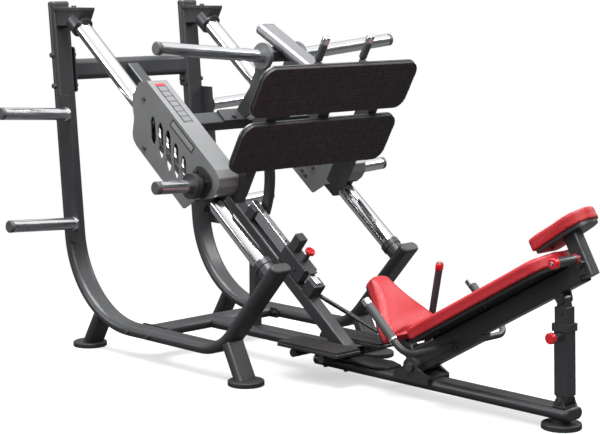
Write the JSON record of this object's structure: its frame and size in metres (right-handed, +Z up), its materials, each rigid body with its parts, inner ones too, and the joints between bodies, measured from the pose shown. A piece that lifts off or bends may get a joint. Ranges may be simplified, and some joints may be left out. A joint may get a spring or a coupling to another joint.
{
  "type": "leg press machine",
  "caption": "Plate-loaded incline leg press with a rail-guided footplate carriage, storage horns, movable stop and reclining padded seat.",
  "frame": {"origin": "on the floor, at the centre of the tail foot disc, on the symmetry plane", "axes": "+X toward the seat and head end, +Y toward the user's right, +Z up"},
  "size_m": [2.5167, 1.4494, 1.4269],
  "materials": {
    "frame_paint": "satin charcoal powder coat",
    "housing_paint": "satin grey powder coat",
    "chrome": "polished chrome plate",
    "red_plastic": "gloss red knob on a steel pin",
    "black_plastic": "matt black moulding",
    "dark_plastic": "matt dark grey moulding",
    "foot_rubber": "black rubber",
    "flange_rubber": "black rubber on a steel flange",
    "tread_rubber": "black moulded rubber",
    "bumper_rubber": "black rubber block",
    "grip_rubber": "black grip sleeve",
    "aluminium": "machined bearing block",
    "bolt_steel": "zinc-plated fastener",
    "brushed": "brushed steel",
    "upholstery": "red coated upholstery fabric over foam",
    "board": "black plywood pad board"
  },
  "bodies": {
    "frame": {"side_frame_left": "frame_paint", "side_frame_right": "frame_paint", "frame_end_caps": "black_plastic", "frame_legs": "frame_paint", "foot_pads": "foot_rubber", "rear_cross_beam": "frame_paint", "base_cross_beam": "frame_paint", "front_spine": "frame_paint", "rear_spine": "frame_paint", "centre_beam": "frame_paint", "centre_post": "frame_paint", "step_supports": "frame_paint", "step_treads": "frame_paint", "guide_rail_left": "chrome", "guide_rail_right": "chrome", "rail_top_brackets": "frame_paint", "rail_foot_collars": "frame_paint", "storage_horn_plates": "frame_paint", "storage_horns": "chrome", "storage_horn_caps": "dark_plastic", "stop_bar": "chrome", "stop_bar_blocks": "frame_paint", "recline_hinge_base": "frame_paint", "recline_pin": "brushed", "post_clevis_base": "frame_paint", "frame_bolts": "bolt_steel"},
    "carriage": {"carriage_housing_left": "housing_paint", "carriage_housing_right": "housing_paint", "upper_cross_tube": "frame_paint", "linear_bearings": "aluminium", "horn_brackets": "frame_paint", "weight_horns": "chrome", "weight_horn_caps": "dark_plastic", "horn_flanges": "flange_rubber", "plate_mast": "frame_paint", "footplate_arms": "frame_paint", "footplates": "frame_paint", "footplate_treads": "tread_rubber", "stop_arm": "frame_paint", "carriage_handles": "grip_rubber", "carriage_bolts": "bolt_steel"},
    "stop": {"stop_collar": "frame_paint", "stop_bumper": "bumper_rubber"},
    "stop_plunger": {"stop_pin": "red_plastic"},
    "lever": {"safety_lever": "frame_paint"},
    "rod": {"linkage_rod": "brushed"},
    "backrest": {"back_beam": "frame_paint", "seat_frame": "frame_paint", "seat_pad": "upholstery", "back_pad": "upholstery", "pad_boards": "board", "seat_handles": "frame_paint", "handle_grips": "grip_rubber"},
    "headrest": {"head_post": "frame_paint", "head_pad": "upholstery"},
    "head_plunger": {"head_pin": "red_plastic"},
    "strut_outer": {"post_outer": "frame_paint"},
    "strut_inner": {"post_inner": "chrome"},
    "strut_plunger": {"post_pin": "red_plastic"}
  },
  "joints": [
    {"name": "carriage_slide", "type": "slide", "parent": "frame", "child": "carriage", "axis": [0.7845, 0, -0.6202], "range_m": [-0.44, 0.185]},
    {"name": "stop_collar_slide", "type": "slide", "parent": "frame", "child": "stop", "axis": [0.7845, 0, -0.6202], "range_m": [-0.2, 0.02]},
    {"name": "stop_pin_pull", "type": "slide", "parent": "stop", "child": "stop_plunger", "axis": [0.6202, 0, 0.7845], "range_m": [0, 0.012]},
    {"name": "safety_lever_swing", "type": "hinge", "parent": "frame", "child": "lever", "pos_m": [-0.775, 0.134, 0.057], "axis": [0, 1, 0], "range_deg": [-20, 0]},
    {"name": "linkage_rod_slide", "type": "slide", "parent": "frame", "child": "rod", "axis": [-0.9587, 0, 0.2845], "range_m": [-0.0005, 0.0226]},
    {"name": "backrest_recline", "type": "hinge", "parent": "frame", "child": "backrest", "pos_m": [-0.641, 0, 0.114], "axis": [0, 1, 0], "range_deg": [-9, 2]},
    {"name": "strut_tilt", "type": "hinge", "parent": "frame", "child": "strut_outer", "pos_m": [0.013, 0, 0.098], "axis": [0, 1, 0], "range_deg": [-7.5, 1.8]},
    {"name": "strut_extend", "type": "slide", "parent": "strut_outer", "child": "strut_inner", "axis": [-0.0345, 0, 0.9994], "range_m": [-0.0235, 0.103]},
    {"name": "strut_pin_pull", "type": "slide", "parent": "strut_outer", "child": "strut_plunger", "axis": [0, -1, 0], "range_m": [0, 0.012]},
    {"name": "headrest_slide", "type": "slide", "parent": "backrest", "child": "headrest", "axis": [-0.497, 0, 0.8678], "range_m": [-0.006, 0.04]},
    {"name": "head_pin_pull", "type": "slide", "parent": "backrest", "child": "head_plunger", "axis": [0, -1, 0], "range_m": [0, 0.012]}
  ],
  "couplings": [
    {"joint": "linkage_rod_slide", "follows": "safety_lever_swing", "m_per_rad": -0.0635},
    {"joint": "strut_tilt", "follows": "backrest_recline", "ratio": 0.816},
    {"joint": "strut_extend", "follows": "backrest_recline", "m_per_rad": -0.65}
  ]
}
